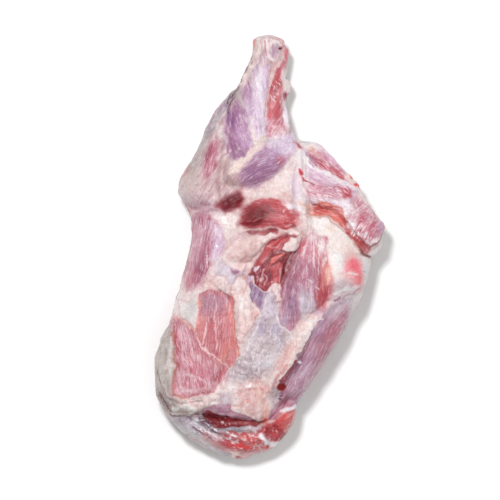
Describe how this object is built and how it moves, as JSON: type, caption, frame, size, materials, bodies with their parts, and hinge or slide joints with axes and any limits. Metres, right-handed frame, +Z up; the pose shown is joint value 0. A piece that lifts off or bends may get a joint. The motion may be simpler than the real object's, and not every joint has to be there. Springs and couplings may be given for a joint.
{
  "type": "raw lamb shoulder with shank",
  "caption": "Raw lamb shoulder joint with its shank, lying flat with the inner muscles, fat seams and folded flap showing.",
  "frame": {"origin": "centre of the bounding box's base, on the surface the joint lies on", "axes": "+Y along the joint towards the knuckle of the shank, +Z up through the muscles, +X towards the folded flap"},
  "size_m": [0.1839, 0.3402, 0.0673],
  "materials": {
    "raw_meat": "moist raw meat with pale fat and fascia"
  },
  "bodies": {
    "root": {"lamb_shoulder": "raw_meat"}
  },
  "joints": []
}
